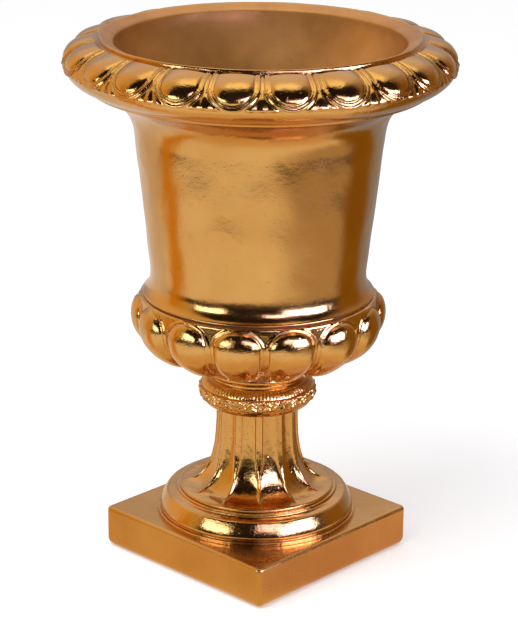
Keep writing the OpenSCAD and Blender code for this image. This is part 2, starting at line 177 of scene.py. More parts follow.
def tongue(u, over, reach):
    """Distance from an arched shape's middle: straight sides, then an elliptic end."""
    return np.hypot(u, np.maximum(0, over) / reach)


def ripple(points, wavelength, seed, waves=14):
    """Slow unevenness of a casting, about -1 to 1, at points in millimetres."""
    rng = np.random.RandomState(seed)
    total = np.zeros(len(points))
    for _ in range(waves):
        direction = rng.normal(size=3)
        direction /= np.linalg.norm(direction)
        length = wavelength * rng.uniform(0.6, 1.7)
        total += np.sin(points @ direction * (2 * math.pi / length) + rng.uniform(0, 2 * math.pi))
    return total / math.sqrt(waves)


# Meshes
def band_faces(rows, count):
    """Faces of a ring of rows that closes on itself both ways, and the row that each face starts on."""
    i, j = np.meshgrid(np.arange(rows), np.arange(count), indexing="ij")
    i2, j2 = (i + 1) % rows, (j + 1) % count
    faces = np.stack([i * count + j, i2 * count + j, i2 * count + j2, i * count + j2], -1)
    return faces.reshape(-1, 4), i.ravel()


def mesh_object(name, vertices, faces, inner_faces):
    """A smooth object from points in millimetres, with its second material on the inner faces."""
    mesh = bpy.data.meshes.new(name)
    mesh.vertices.add(len(vertices))
    mesh.vertices.foreach_set("co", (np.asarray(vertices) * MM).astype(np.float32).ravel())
    mesh.loops.add(faces.size)
    mesh.loops.foreach_set("vertex_index", faces.astype(np.int32).ravel())
    mesh.polygons.add(len(faces))
    mesh.polygons.foreach_set("loop_start", np.arange(0, faces.size, faces.shape[1], dtype=np.int32))
    mesh.polygons.foreach_set("material_index", inner_faces.astype(np.int32))
    mesh.update(calc_edges=True)
    mesh.validate()
    mesh.shade_smooth()
    piece = bpy.data.objects.new(name, mesh)
    bpy.context.scene.collection.objects.link(piece)
    return piece


def revolve(name, shown, hidden, columns, lift=None, turn=0.0, uneven=(0.12, 45.0, 1), inner_rows=0):
    """A closed casting: the shown path with its relief, then the hidden path back to its start.

    columns are the lobes and the columns in each. lift(u, s, lobe) gives the relief in millimetres:
    u from -1 to 1 across a lobe, s along the shown path. uneven is the depth, wavelength and seed of the
    shown side's slow waves. The hidden side, and the first inner_rows rows of the shown one, take the
    second material.
    """
    shown = chain(shown)
    loop = chain(shown, hidden)
    if np.linalg.norm(loop[-1] - loop[0]) < 1e-4:
        loop = loop[:-1]
    rows, count, outer = len(loop), columns[0] * columns[1], len(shown)
    lobe = np.repeat(np.arange(columns[0]), columns[1])
    u = np.tile(-1 + 2 * np.arange(columns[1]) / columns[1], columns[0])
    angle = np.radians(CORNER + turn + (lobe + (u + 1) / 2) * 360 / columns[0])
    height = np.zeros((rows, count))
    normal = np.zeros((rows, 2))
    normal[:outer] = normals_of(shown)
    if lift is not None:
        height[:outer] = lift(u[None, :], run_of(shown)[:, None], lobe[None, :])
    radius = loop[:, :1] + height * normal[:, :1]
    z = loop[:, 1:] + height * normal[:, 1:]
    xyz = np.stack([radius * np.cos(angle), radius * np.sin(angle), z], -1)
    amount, wavelength, seed = uneven
    waves = ripple(xyz[:outer].reshape(-1, 3), wavelength, seed).reshape(outer, count)
    fade_rows = 12.0
    fade = smooth(np.minimum(np.arange(outer), np.arange(outer)[::-1]) / fade_rows)[:, None]
    inward = -amount * (0.5 + 0.5 * np.clip(waves, -1, 1)) * fade
    xyz[:outer, :, 0] += inward * normal[:outer, :1] * np.cos(angle)
    xyz[:outer, :, 1] += inward * normal[:outer, :1] * np.sin(angle)
    xyz[:outer, :, 2] += inward * normal[:outer, 1:]
    faces, row_of_face = band_faces(rows, count)
    inner_faces = (row_of_face < inner_rows) | (row_of_face >= outer - 1)
    return mesh_object(name, xyz.reshape(-1, 3), faces, inner_faces)


def dress(piece, slot, finishes, *nodes):
    """Rides a piece on the body, in the place of its CAD nodes, with its finishes."""
    for finish in finishes:
        piece.data.materials.append(finish)
    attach(piece, "root")
    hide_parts(*nodes)
    return piece


# Pieces
def spigot(z):
    """Outline of the ring that centres the next casting, from the bore to the joint face at height z."""
    return [(BORE_R, z + SPIGOT_H), (SPIGOT_R, z + SPIGOT_H), (SPIGOT_R, z)]


def recess(z):
    """Outline of the recess for the ring below, from the joint face at height z in to the bore."""
    edge, top = SPIGOT_R + SPIGOT_GAP, z + SPIGOT_H + SPIGOT_GAP
    return [(edge, z), (edge, top), (BORE_R, top)]


def square_ring(half, corner, steps=10):
    """Plan of a rounded square of half side `half`, anticlockwise from the middle of its +X side."""
    straight = half - corner
    turns = np.radians(np.linspace(0, 90, steps + 1))
    bend = np.stack([straight + corner * np.cos(turns), straight + corner * np.sin(turns)], 1)
    rising = [(half, 0), (half, 0.6 * straight), (half, 0.985 * straight)]
    falling = [(0.985 * straight, half), (0.6 * straight, half)]
    quarter = np.concatenate([rising, bend, falling])
    turned = np.stack([-quarter[:, 1], quarter[:, 0]], 1)
    return np.concatenate([quarter, turned, -quarter, -turned])


def plinth():
    """A square casting with rounded edges, open underneath, round the plate that carries the rod.

    Its rows are rounded squares, each with its half side, corner radius and height.
    """
    half, corner_r, top_r, low_r, wall = PLINTH_SIDE / 2, 8.0, 5.0, 12.0, 14.0
    least_corner, round_corner = 2.0, 0.999 * PLATE_R
    inset, inner = half - top_r - 1.5, half - wall
    turns = np.radians(np.linspace(90, 0, 9))
    top_edge = [(half - top_r + top_r * math.cos(a), FOOT_Z - top_r + top_r * math.sin(a)) for a in turns]
    low_edge = [(half - low_r + low_r * math.cos(a), low_r - low_r * math.sin(a)) for a in turns[::-1]]
    side = [(half, FOOT_Z - top_r - 2), (half, low_r + 2)]
    outside = [(inset, FOOT_Z)] + top_edge + side + low_edge
    top = [(PLATE_R + (inset - PLATE_R) * t, round_corner + (least_corner - round_corner) * t, FOOT_Z)
           for t in np.linspace(0, 1, 9)]
    rows = top[:-1] + [(h, max(least_corner, corner_r - (half - h)), z) for h, z in outside]
    shown = len(rows)
    rows += [(inner, least_corner, 0.0), (inner, least_corner, PLATE_Z), (PLATE_R, round_corner, PLATE_Z)]
    rings = []
    for half_side, corner, z in rows:
        ring = square_ring(half_side, corner)
        rings.append(np.column_stack([ring, np.full(len(ring), z)]))
    faces, row_of_face = band_faces(len(rows), len(ring))
    return mesh_object("plinth_casting", np.concatenate(rings), faces, row_of_face >= shown - 1)


def plinth_boss():
    """The round boss under the plate, bored for the rod."""
    low = PLATE_Z - BOSS_H
    shown = [(SPIGOT_R, PLATE_Z), (SPIGOT_R, low + 1), (SPIGOT_R - 1, low), (ROD_HOLE_R, low)]
    return revolve("plinth_boss", shown, [(ROD_HOLE_R, PLATE_Z)], (1, 96), uneven=(0, 30.0, 21))


def plinth_ribs():
    """Four ribs from the boss to the walls, stepped to leave room for the clamp bar."""
    half_t, wall = 3.0, PLINTH_SIDE / 2 - 7
    bar_low, bar_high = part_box("clamp_bar")
    gap_r = (bar_high - bar_low).length / MM / 2 + 2
    sides = ((3, 2, 1, 0), (4, 5, 6, 7), (0, 1, 5, 4), (1, 2, 6, 5), (2, 3, 7, 6), (3, 0, 4, 7))
    vertices, faces = [], []
    for turn in range(4):
        angle = math.radians(90 * turn)
        for start, end, low in ((SPIGOT_R - 1, gap_r, PLATE_Z - BOSS_H), (gap_r, wall, PLATE_Z - RIB_H)):
            first = len(vertices)
            for z in (low, PLATE_Z):
                for x, y in ((start, -half_t), (end, -half_t), (end, half_t), (start, half_t)):
                    vertices.append((x * math.cos(angle) - y * math.sin(angle),
                                     x * math.sin(angle) + y * math.cos(angle), z))
            for side in sides:
                faces.append([first + k for k in side])
    ribs = mesh_object("plinth_ribs", vertices, np.array(faces), np.ones(len(faces)))
    ribs.data.shade_flat()
    return ribs


def foot():
    """An upright ring, a flat step, the rounded roll, a groove and the base ring."""
    ring_r, step_r, roll_r, base_r = 106.5, 117.5, 128.8, 132.0
    base_z, step_z, roll_z = FOOT_Z + 5, FOOT_Z + 29.6, FOOT_Z + 10.5
    spigot_in, spigot_out, spigot_z = 72.7, 79.7, STEM_Z + SPIGOT_H
    web_z = STEM_Z - 7
    shown = chain([(spigot_in, STEM_Z), (spigot_in, spigot_z), (spigot_out, spigot_z), (spigot_out, STEM_Z),
                   (ring_r, STEM_Z), (ring_r, STEM_Z - 4), (108.5, step_z + 0.8), (step_r, step_z)],
                  bez((step_r + 2.5, step_z - 1.8), (123, step_z - 6.6),
                      (127, roll_z + 6.5), (roll_r, roll_z)),
                  bez((roll_r, roll_z), (129.2, roll_z - 2),
                      (128.6, base_z + 1.6), (126.6, base_z + 0.3), 8),
                  [(127.4, base_z), (base_r, base_z), (base_r, FOOT_Z)])
    hidden = [(121.5, FOOT_Z), (121.5, base_z), (99.5, web_z), (BORE_R, web_z), (BORE_R, STEM_Z)]
    return revolve("foot_casting", soften(shown, 0.8, 0.55), hidden, (1, 360), uneven=(0.3, 34.0, 3))


def stem_lift(path):
    """Hollow flutes with flats between them, which open into fans and end near the apron's edge."""
    run = run_of(path)[-1]
    shank_share, fan_share = 0.72, 0.985
    flute_depth, arris_height = 4.8, 0.5

    def lift(u, s, lobe):
        t = s / run
        share = shank_share + (fan_share - shank_share) * smooth((t - 0.36) / 0.40)
        depth = flute_depth * smooth(t / 0.02 + 0.4) * (1 - smooth((t - 0.79) / 0.15))
        arris = arris_height * bead(np.abs(u), share, 0.07) * (1 - smooth((t - 0.86) / 0.1))
        return arris - depth * dome(u / share)
    return lift


def stem():
    """The fluted stem with its round apron, hollow inside."""
    shank_r, edge_r, edge_z = 53.25, 102.5, STEM_Z + 3
    hollow_r, hollow_z = 80, STEM_Z + SPIGOT_H + SPIGOT_GAP
    flank = bez((shank_r, COLLAR_Z), (shank_r, COLLAR_Z - 58),
                (55.5, STEM_Z + 10.5), (98.5, STEM_Z + 4.4), 60)
    edge = [(101.6, edge_z + 0.6), (edge_r, edge_z), (edge_r, STEM_Z)]
    path = soften(chain(flank, edge), 1.1, 0.6)
    inside = bez((hollow_r, hollow_z), (72, STEM_Z + 11),
                 (BORE_R, STEM_Z + 23), (BORE_R, COLLAR_Z - 36), 12)
    hidden = chain([(hollow_r, STEM_Z), (hollow_r, hollow_z)], inside, spigot(COLLAR_Z), path[:1])
    return revolve("stem_casting", path, hidden, (FLUTES, 44), stem_lift(path), STACK_TURN, (0.25, 16.0, 5))


def leaf_lift(path):
    """Veined leaves that hang over the roll's lower half, with the tips of a second row between them."""
    runs = run_of(path)
    leaf_top, leaf_length = 11.0, 16.5
    front_height, behind_height, rib_height, ray_height = 2.9, 1.8, 0.9, 0.35

    def leaf(v, t, height):
        inside = smooth((1 - v) / 0.3)
        vein = np.abs(np.sin(math.pi * (2.6 * t - 1.1 * v)))
        return height * inside * (0.35 + 0.65 * vein) + rib_height * bead(v, 0, 0.22) * (v < 1)

    def lift(u, s, lobe):
        down = NECK_Z - np.interp(s, runs, path[:, 1])
        t = (down - leaf_top) / leaf_length
        inside = (t > 0) & (t < 1)
        swing = u + 0.16 * np.sin(2.2 * lobe + 4 * t)
        half = 0.92 * dome(np.clip(t, 0, 1) ** 1.5) + 1e-3
        front = leaf(np.abs(swing) / half, t, front_height + 0.5 * np.sin(3.1 * lobe))
        behind = leaf(np.abs(np.abs(swing) - 1) / (0.7 * half + 1e-3), t, behind_height)
        rays = ray_height * np.cos(math.pi * 4 * u) * smooth(down / 3) * smooth((leaf_top - down) / 3)
        carved = smooth(7 * t) * smooth(8 * (1 - t)) * np.maximum(front, behind)
        return np.where(inside, carved, 0) + rays
    return lift


def collar():
    """The carved roll between stem and neck ring."""
    mid_z, mid_r = COLLAR_Z + 19, 74.5
    upper = bez((61, NECK_Z), (69, NECK_Z - 2), (mid_r, mid_z + 9), (mid_r, mid_z))
    lower = bez((mid_r, mid_z), (mid_r, mid_z - 11), (71, COLLAR_Z + 0.8), (57, COLLAR_Z))
    shown = soften(chain(upper, lower), 0.6, 0.4)
    hidden = chain(recess(COLLAR_Z), spigot(NECK_Z), shown[:1])
    lift = leaf_lift(shown)
    return revolve("collar_casting", shown, hidden, (LEAVES, 26), lift, STACK_TURN, (0.25, 7.0, 7))


def neck_ring():
    """A bead over a waist."""
    bead_r, waist_r = 4.5, 65.5
    bead_z = BOWL_Z - bead_r
    shown = chain([(SPIGOT_R, BOWL_Z)], arc((waist_r, bead_z), bead_r, 90, -70, 28),
                  bez((66.6, bead_z - 4.9), (61.5, NECK_Z + 5.5), (60.5, NECK_Z + 3.5), (61, NECK_Z)))
    hidden = chain(recess(NECK_Z), spigot(BOWL_Z))
    return revolve("neck_casting", soften(shown, 0.6, 0.35), hidden, (1, 256), uneven=(0.25, 15.0, 9))


def gadroon_lift(path, belly):
    """Deep lobes under arches, with fine threads along each arch and a ridge on each side of a valley."""
    run = run_of(path)[-1]
    arch = 1.05 * belly
    lobe_height, lobe_share, ridge_at, thread_at = 10.6, 0.85, 0.905, 0.96
    taper_from = belly + 0.44 * (run - belly)

    def lift(u, s, lobe):
        grow = 1 + 0.05 * np.sin(2.4 * lobe)
        q = tongue(u * (1 + 0.02 * np.sin(1.3 * lobe)), arch - s, arch - 2.4)
        taper = 1 - smooth((s - taper_from) / (run - taper_from))
        near_arch = 1 - smooth((s - arch) / 14)
        lobes = lobe_height * grow * dome(q / lobe_share) ** 1.04
        ridges = (0.9 + 0.4 * near_arch) * bead(q, ridge_at, 0.03)
        threads = near_arch * (0.8 * bead(q, thread_at, 0.025) + 0.5 * bead(q, lobe_share, 0.025))
        field = 0.7 * smooth((1 - q) / 0.05)
        return taper * (lobes + field + (ridges + threads) * smooth(s / 2.0))
    return lift


def bowl():
    """The lobed bowl: an upright shoulder under the bell's lip, the belly and the run in to the neck."""
    belly_z, belly_r, top_r = BOWL_Z + 72, 155.5, 150
    shoulder = bez((153.8, WAIST_Z - 2.2), (154.4, WAIST_Z - 7),
                   (belly_r, belly_z + 12), (belly_r, belly_z), 30)
    above = chain([(top_r, WAIST_Z), (152.6, WAIST_Z - 0.7)], shoulder)
    below = bez((belly_r, belly_z), (belly_r, belly_z - 36), (112, BOWL_Z + 25), (73, BOWL_Z), 60)
    shown = soften(chain(above, below), 1.0, 0.5)
    wall = (below - BOWL_WALL * normals_of(below))[::-4]
    cavity = wall[wall[:, 1] > BOWL_Z + BOWL_FLOOR + 2]
    flange_z, floor_z = WAIST_Z - WAIST_T, BOWL_Z + BOWL_FLOOR
    recess_r, recess_z = SPIGOT_R + SPIGOT_GAP, BOWL_Z + SPIGOT_H + SPIGOT_GAP
    hidden = chain([(recess_r, BOWL_Z), (recess_r, recess_z), (FLOOR_R, recess_z), (FLOOR_R, floor_z),
                    (cavity[0, 0] - 4, floor_z)], cavity,
                   [(top_r - 1, flange_z), (WAIST_R, flange_z), (WAIST_R, WAIST_Z), (top_r, WAIST_Z)])
    lift = gadroon_lift(shown, run_of(above)[-1])
    return revolve("bowl_casting", shown, hidden, (GADROONS, 60), lift, STACK_TURN, (0.35, 24.0, 11))


def drained_plate(name, radius, low, high, drain_circle):
    """A round plate with the rod's hole and four drain holes."""
    outline = bpy.data.curves.new(name, "CURVE")
    outline.dimensions, outline.fill_mode, outline.extrude = "2D", "BOTH", (high - low) / 2 * MM
    turns = [math.radians(CORNER + 90 * k) for k in range(4)]
    drains = [(drain_circle * math.cos(a), drain_circle * math.sin(a), DRAIN_R) for a in turns]
    for x, y, r in [(0, 0, radius), (0, 0, ROD_HOLE_R)] + drains:
        ring = outline.splines.new("POLY")
        sides = 96 if r == radius else 40
        ring.points.add(sides - 1)
        for k, p in enumerate(ring.points):
            a = 2 * math.pi * k / sides
            p.co = ((x + r * math.cos(a)) * MM, (y + r * math.sin(a)) * MM, 0, 1)
        ring.use_cyclic_u = True
    holder = bpy.data.objects.new(name + "_outline", outline)
    bpy.context.scene.collection.objects.link(holder)
    bpy.context.view_layer.update()
    mesh = bpy.data.meshes.new_from_object(holder)
    bpy.data.objects.remove(holder)
    mesh.transform(Matrix.Translation((0, 0, (low + high) / 2 * MM)))
    plate = bpy.data.objects.new(name, mesh)
    bpy.context.scene.collection.objects.link(plate)
    return plate


def body():
    """The bell: a cove under the rim, a tapered wall and a flared foot with its lip."""
    lip_z, flange_z = BODY_Z + 1.2, FUNNEL_Z - 2 * THROAT_T
    shown = chain(bez((214, RIM_Z), (186, RIM_Z - 11), (164.5, RIM_Z - 22), (160, RIM_Z - 59), 60),
                  bez((141, BODY_Z + 37), (139.7, BODY_Z + 23.5),
                      (140.4, BODY_Z + 8), (150.2, lip_z + 0.4), 40),
                  [(150.6, lip_z - 0.3), (150.5, BODY_Z)])
    floor_z, shelf_z = BODY_Z + WAIST_T, flange_z + THROAT_T
    hidden = chain([(WAIST_R, BODY_Z), (WAIST_R, floor_z), (136.5, floor_z), (135.5, BODY_Z + 37),
                    (154.6, RIM_Z - 59), (155.5, flange_z), (THROAT_R, flange_z), (THROAT_R, shelf_z),
                    (157, shelf_z), (178, RIM_Z - 12), (206, RIM_Z), (214, RIM_Z)])
    return revolve("bell_casting", soften(shown, 1.8, 0.9), hidden, (1, 480), uneven=(0.9, 70.0, 13))


def egg_lift(path, groove, egg_run):
    """Eggs in two fine threads each, lower towards the lip, with small darts between them."""
    egg_share, inner_at, outer_at, field_at, dart_at = 0.73, 0.785, 0.885, 0.95, 0.96
    egg_height, inner_height, outer_height = 6.6, 1.7, 2.1

    def lift(u, s, lobe):
        s = s - groove
        t = s / egg_run
        centre = 0.44 * egg_run
        reach = (egg_run - 1.2 - centre) / field_at
        lean = u + 0.03 * np.sin(2.7 * lobe)
        q = tongue(lean, s - centre, reach)
        grow = 1 + 0.06 * np.sin(1.9 * lobe + 0.7)
        swell = 0.5 + 0.5 * smooth((t - 0.05) / 0.5)
        eggs = egg_height * grow * swell * dome(q / egg_share) * smooth(s / 6.0)
        lines = inner_height * bead(q, inner_at, 0.038) + outer_height * bead(q, outer_at, 0.048)
        lines = lines * (0.6 + 0.4 * swell)
        field = smooth((field_at - q) / 0.05)
        stalk = 1.3 * bead(np.abs(u), 1, 0.05) * smooth((t - 0.1) / 0.2)
        across = (1 - np.abs(u)) / (0.10 + 0.5 * smooth((t - 0.5) / 0.5))
        fan = 0.5 + 0.5 * np.cos(2 * math.pi * 1.5 * across)
        rise = smooth((q - dart_at) / 0.06) * smooth((t - 0.5) / 0.25)
        dart = np.maximum(stalk, rise * (0.7 + 1.1 * fan)) * smooth((1 - t) / 0.07)
        ends = smooth(s / 2.5) * smooth((egg_run - s) / 1.0)
        raised = np.where(q < dart_at, eggs + lines + field, 0) + dart * (q > dart_at)
        return np.where((s > 0) & (s < egg_run), ends * raised, 0)
    return lift


def rim():
    """Funnel, lip with its crest and groove, eggs on a quarter-round, and the plain band below them."""
    groove_z, groove_r = TOP_Z - 5.5, 205.5
    crest_r, lip_in, lip_z = 201.5, 184.0, TOP_Z - 10
    band_z, band_r, foot_r = RIM_Z + 29, 247.2, 216.5
    egg_below_band, fine_step = 4.0, 0.95
    funnel_r = 147.6
    funnel = spaced(bez((funnel_r, FUNNEL_Z), (158.7, FUNNEL_Z + 28.7),
                        (182.2, FUNNEL_Z + 54.4), (lip_in, lip_z), 50), 3.0)
    slope = bez((lip_in, lip_z), (lip_in, TOP_Z - 6), (192, TOP_Z - 4.5), (crest_r - 1.6, TOP_Z - 0.4), 20)
    crest = [(crest_r, TOP_Z + 0.1), (crest_r + 1.2, TOP_Z - 0.6), (crest_r + 1.6, TOP_Z - 2)]
    groove = [(crest_r + 1.9, groove_z - 1.2), (groove_r - 0.8, groove_z - 1.2), (groove_r, groove_z)]
    before = chain(funnel[-1:], slope, crest, groove)
    eggs = bez((groove_r, groove_z), (223, groove_z - 3.1), (243.6, band_z + 16), (band_r, band_z), 60)
    band = bez((band_r, band_z), (band_r - 2, band_z - 10),
               (237, RIM_Z + 10), (foot_r + 3, RIM_Z + 4.3), 40)
    crease = [(foot_r + 2, RIM_Z + 3.3), (foot_r, RIM_Z + 0.3)]
    fine = soften(chain(before, eggs, band, crease), fine_step, 0.45)
    shown = chain(funnel[:-1], fine)
    wall = FUNNEL_Z - THROAT_T
    hidden = [(211.5, RIM_Z + 0.6), (230, RIM_Z + 12), (243.2, RIM_Z + 23), (243.5, RIM_Z + 31),
              (236, TOP_Z - 25), (221, TOP_Z - 15), (203, TOP_Z - 11), (190, TOP_Z - 12),
              (188.6, TOP_Z - 17), (178, TOP_Z - 45), (152.6, FUNNEL_Z), (152.6, wall),
              (THROAT_R, wall), (THROAT_R, FUNNEL_Z), (funnel_r, FUNNEL_Z)]
    groove_at = run_of(chain(funnel, before))[-1]
    lift = egg_lift(shown, groove_at, run_of(eggs)[-1] + egg_below_band)
    inside = len(funnel) + int(run_of(slope)[-1] / fine_step) - 2
    return revolve("rim_casting", shown, hidden, (EGGS, 52), lift, RIM_TURN, (0.35, 30.0, 17), inside)


# Materials
def blank_material(name):
    """A new material, its node tree and its main shader."""
    material = bpy.data.materials.new(name)
    material.use_nodes = True
    tree = material.node_tree
    return material, tree, tree.nodes["Principled BSDF"]


def put(tree, socket, value):
    """Links a node's output to a socket, or sets the socket to a plain value."""
    if isinstance(value, bpy.types.NodeSocket):
        tree.links.new(value, socket)
    else:
        socket.default_value = value


def add(tree, kind, settings=(), **inputs):
    """A node with its settings. An input is a socket's name, or i and its number where names repeat."""
    made = tree.nodes.new(kind)
    for key, value in dict(settings).items():
        setattr(made, key, value)
    for key, value in inputs.items():
        socket = int(key[1:]) if key[1:].isdigit() else key.replace("_", " ")
        put(tree, made.inputs[socket], value)
    return made


def noise(tree, where, scale, detail, rough=0.5):
    """Cloudy noise, mostly from 0.3 to 0.7, whose scale is about its blotches in a metre."""
    made = add(tree, "ShaderNodeTexNoise", Vector=where, Scale=scale, Detail=detail, Roughness=rough)
    return made.outputs[0]


def ranged(tree, value, low, high, to_low=0.0, to_high=1.0):
    """A value taken in a straight line from one range to another, and held at its ends."""
    made = add(tree, "ShaderNodeMapRange", Value=value, From_Min=low, From_Max=high,
               To_Min=to_low, To_Max=to_high)
    return made.outputs[0]


def mixed(tree, factor, first, second):
    """A colour from the first to the second as the factor goes from 0 to 1."""
    made = add(tree, "ShaderNodeMix", {"data_type": "RGBA"})
    put(tree, made.inputs[0], factor)
    for socket, value in ((made.inputs[6], first), (made.inputs[7], second)):
        put(tree, socket, value if isinstance(value, bpy.types.NodeSocket) else (*value, 1))
    return made.outputs[2]


def gold(name, bright, deep, roughness, spread, pitting, coat, metal=1.0):
    """Gilded casting: metal whose tone, gloss and fine pitted skin vary over the surface."""
    material, tree, shader = blank_material(name)
    where = add(tree, "ShaderNodeTexCoord").outputs["Object"]
    cloud = noise(tree, where, scale=11, detail=3)
    speck = noise(tree, where, scale=240, detail=3, rough=0.6)
    tone = mixed(tree, ranged(tree, cloud, 0.36, 0.66), bright, deep)
    dull = ranged(tree, speck, 0.64, 0.74, 0, 0.4)
    pitted = mixed(tree, dull, tone, tuple(0.62 * c for c in deep))
    tree.links.new(pitted, shader.inputs["Base Color"])
    shader.inputs["Metallic"].default_value = metal
    blotch = noise(tree, where, scale=34, detail=4, rough=0.6)
    gloss = ranged(tree, blotch, 0.3, 0.7, roughness - spread, roughness + spread)
    tree.links.new(gloss, shader.inputs["Roughness"])
    shader.inputs["Coat Weight"].default_value = coat
    shader.inputs["Coat Roughness"].default_value = 0.08
    grain = noise(tree, where, scale=620, detail=2, rough=0.55)
    wave = noise(tree, where, scale=120, detail=3, rough=0.55)
    cells = add(tree, "ShaderNodeTexVoronoi", Vector=where, Scale=150.0, Randomness=1.0).outputs["Distance"]
    pit = ranged(tree, cells, 0.06, 0.17)
    fine = add(tree, "ShaderNodeBump", Height=grain, Strength=0.8, Distance=0.15 * pitting * MM)
    slow = add(tree, "ShaderNodeBump", Height=wave, Strength=0.5, Distance=0.6 * pitting * MM,
               Normal=fine.outputs[0])
    deep_pits = add(tree, "ShaderNodeBump", Height=pit, Strength=0.5, Distance=0.25 * pitting * MM,
                    Normal=slow.outputs[0])
    tree.links.new(deep_pits.outputs[0], shader.inputs["Normal"])
    return material


def steel():
    """Zinc-plated hardware with a fine drawn grain and dull spots."""
    material, tree, shader = blank_material("zinc_steel")
    where = add(tree, "ShaderNodeTexCoord").outputs["Object"]
    drawn = add(tree, "ShaderNodeMapping", Vector=where, Scale=(900.0, 900.0, 40.0)).outputs[0]
    grain = noise(tree, drawn, scale=1, detail=3)
    patch = noise(tree, where, scale=130, detail=3)
    tone = mixed(tree, ranged(tree, patch, 0.4, 0.7), (0.62, 0.62, 0.6), (0.42, 0.42, 0.43))
    tree.links.new(tone, shader.inputs["Base Color"])
    shader.inputs["Metallic"].default_value = 1.0
    tree.links.new(ranged(tree, grain, 0.3, 0.7, 0.28, 0.48), shader.inputs["Roughness"])
    bump = add(tree, "ShaderNodeBump", Height=grain, Strength=0.4, Distance=0.05 * MM)
    tree.links.new(bump.outputs[0], shader.inputs["Normal"])
    return material


def rubber():
    """Black sheet rubber with a dusty bloom and a fine leathery grain."""
    material, tree, shader = blank_material("sheet_rubber")
    where = add(tree, "ShaderNodeTexCoord").outputs["Object"]
    bloom = noise(tree, where, scale=60, detail=4)
    tone = mixed(tree, ranged(tree, bloom, 0.4, 0.7), (0.022, 0.022, 0.022), (0.05, 0.048, 0.045))
    tree.links.new(tone, shader.inputs["Base Color"])
    tree.links.new(ranged(tree, bloom, 0.3, 0.7, 0.6, 0.85), shader.inputs["Roughness"])
    grain = noise(tree, where, scale=900, detail=2)
    bump = add(tree, "ShaderNodeBump", Height=grain, Strength=0.4, Distance=0.08 * MM)
    tree.links.new(bump.outputs[0], shader.inputs["Normal"])
    return material


# Studio
def front_axes():
    """Level unit vectors: towards the camera, and to its right."""
    a = math.radians(EYE_AZIMUTH)
    return Vector((math.cos(a), math.sin(a), 0)), Vector((-math.sin(a), math.cos(a), 0))


def camera():
    """The photograph's camera, with its slight roll."""
    front, right = front_axes()
    eye = front * EYE_DISTANCE + Vector((0, 0, EYE_HEIGHT))
    aim = right * AIM_RIGHT + Vector((0, 0, AIM_HEIGHT))
    data = bpy.data.cameras.new("camera")
    data.sensor_width = 36
    data.lens = LENS
    made = bpy.data.objects.new("camera", data)
    bpy.context.scene.collection.objects.link(made)
    made.rotation_mode = "QUATERNION"
    made.location = eye
    turn = Quaternion((0, 0, 1), math.radians(CAMERA_ROLL))
    made.rotation_quaternion = (aim - eye).to_track_quat("-Z", "Y") @ turn
    bpy.context.scene.camera = made


# Soft lights that only the metal mirrors: azimuth from the camera in degrees, then distance from the
# urn's axis, half width, lower and upper edge in metres, and colour
SOFTBOXES = (
    (-47, 1.1, 0.36, 0.34, 0.76, (4.3, 4.7, 6.4)),
    (19, 1.1, 0.34, 0.62, 0.98, (3.4, 3.1, 6.5)),
    (50, 1.1, 0.49, 0.33, 0.82, (11.0, 11.0, 24.0)),
)
# What else the metal mirrors: the room's colours, then the floor's painted light and shade, an emission
# only the metal sees
DARK = (0.014, 0.007, 0.006)
DIM_LEFT = (0.80, 0.58, 0.26)
WALL_LOW = (0.46, 0.42, 0.44)
WALL_HIGH = (0.90, 0.80, 0.82)
WALL_LEFT = (0.95, 0.66, 0.36)
WALL_RIGHT = (0.40, 0.26, 0.17)
CEILING = (1.5, 1.38, 1.1)
# The room's tinted sides, as azimuth from and to, softness of their edges, and colour
SIDES = (
    (-100, -82, 6, (0.82, 0.39, 0.025)),
    (88, 126, 7, (0.30, 0.15, 0.012)),
)
FLOOR_NEAR = (1.05, 0.97, 0.93)
FLOOR_BACK_LEFT = (0.80, 0.70, 0.62)
FLOOR_BACK_RIGHT_PAINTED_SHADOW = (0.34, 0.31, 0.30)
FLOOR_PAINTED_SHADOW = (0.58, 0.46, 0.36)
FLOOR_NEAR_PAINTED_WARM = (0.92, 0.68, 0.42)
FLOOR_FAR_PAINTED_DARK = (0.06, 0.04, 0.036)
FLOOR_CLOSE_LEFT_PAINTED_LIGHT = (0.87, 0.60, 0.34)
FLOOR_CLOSE_RIGHT_PAINTED_LIGHT = (0.78, 0.50, 0.38)


def maths(tree, operation, *values):
    """The result of one arithmetic node."""
    made = add(tree, "ShaderNodeMath", {"operation": operation})
    for socket, value in zip(made.inputs, values):
        put(tree, socket, value)
    return made.outputs[0]


def softened(tree, value, low, high):
    """A smooth step from 0 at low to 1 at high, where high may be the smaller."""
    made = add(tree, "ShaderNodeMapRange", {"interpolation_type": "SMOOTHSTEP"},
               Value=value, From_Min=low, From_Max=high)
    return made.outputs[0]


def bearings(tree, where):
    """Sockets of a direction or place: towards the camera, to its right, up, and azimuth."""
    turned = add(tree, "ShaderNodeVectorRotate", {"rotation_type": "Z_AXIS"}, Vector=where,
                 Angle=math.radians(-EYE_AZIMUTH)).outputs[0]
    front, right, up = add(tree, "ShaderNodeSeparateXYZ", Vector=turned).outputs
    return front, right, up, maths(tree, "ARCTAN2", right, front)


def sided(tree, azimuth, colour, strength):
    """Lays the tinted sides of the room over a colour."""
    for low, high, soft, tint in SIDES:
        within = maths(tree, "MULTIPLY",
                       softened(tree, azimuth, math.radians(low - soft), math.radians(low + soft)),
                       softened(tree, azimuth, math.radians(high + soft), math.radians(high - soft)))
        colour = mixed(tree, maths(tree, "MULTIPLY", within, strength), colour, tint)
    return colour


